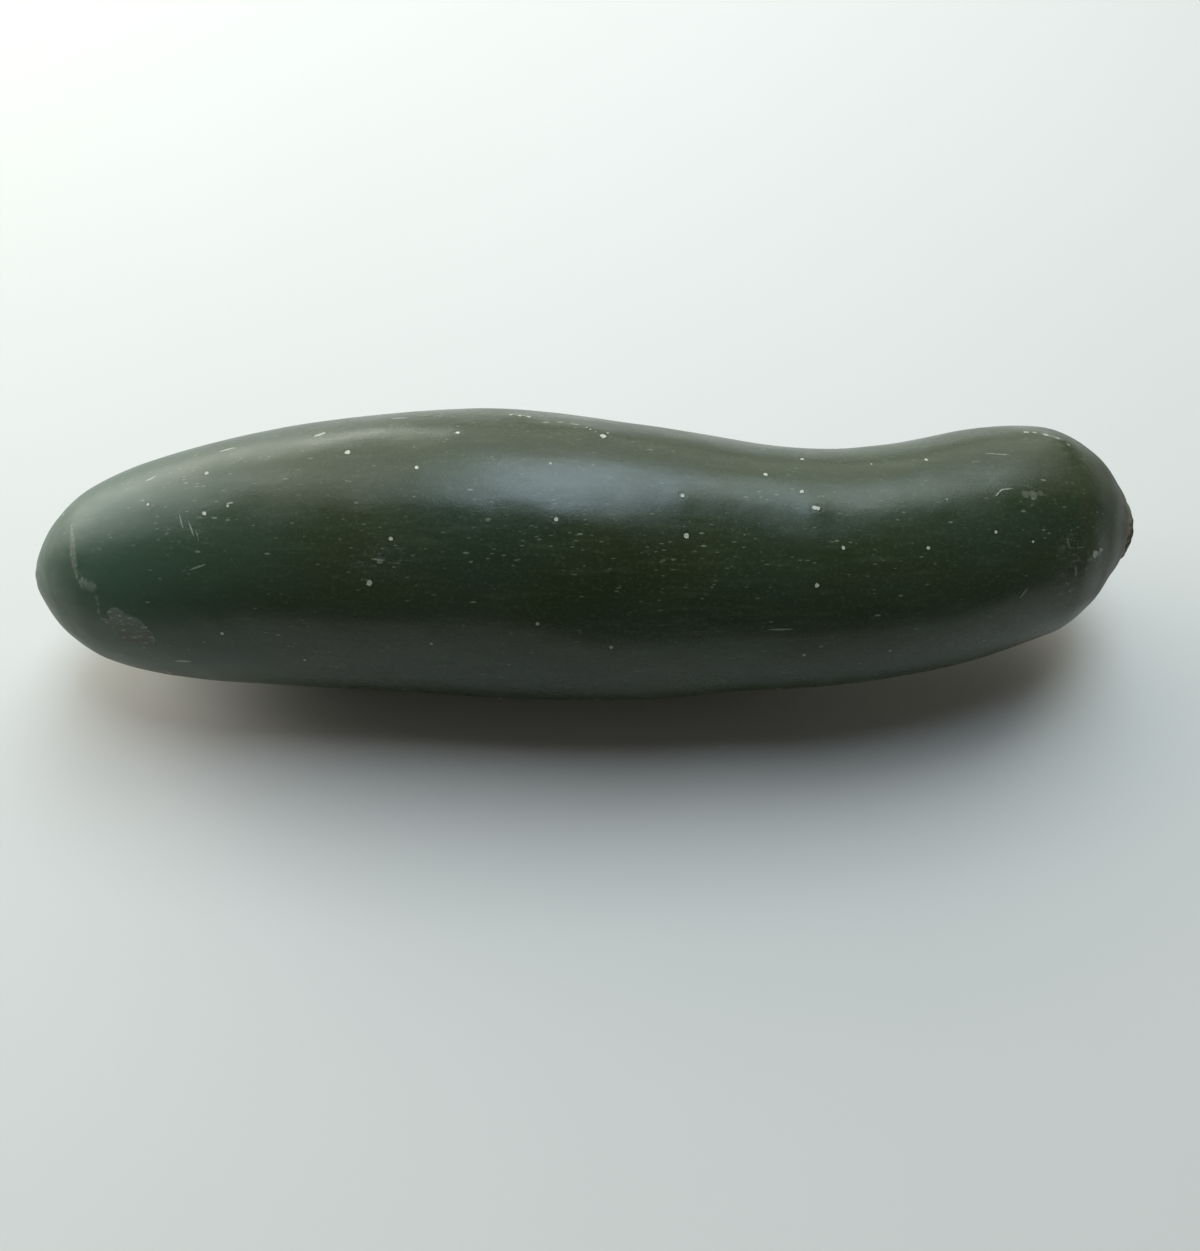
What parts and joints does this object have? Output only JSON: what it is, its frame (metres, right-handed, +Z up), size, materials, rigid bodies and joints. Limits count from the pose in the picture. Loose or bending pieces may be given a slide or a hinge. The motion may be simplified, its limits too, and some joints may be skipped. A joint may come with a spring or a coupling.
{
  "type": "cucumber",
  "caption": "Whole slicing cucumber lying down: a thick, gently bent dark green fruit with domed ends, a low broken-stem collar and a small blossom scar.",
  "frame": {"origin": "on the surface the fruit lies on, under the middle of its box", "axes": "+Z up, +X along the fruit from the blossom end to the stem end, +Y the side towards which the stem end bends"},
  "size_m": [0.2236, 0.06, 0.0577],
  "materials": {
    "rind": "satin waxy dark green rind with pale corky dots, flecks and scuffs"
  },
  "bodies": {
    "root": {"cucumber": "rind"}
  },
  "joints": []
}
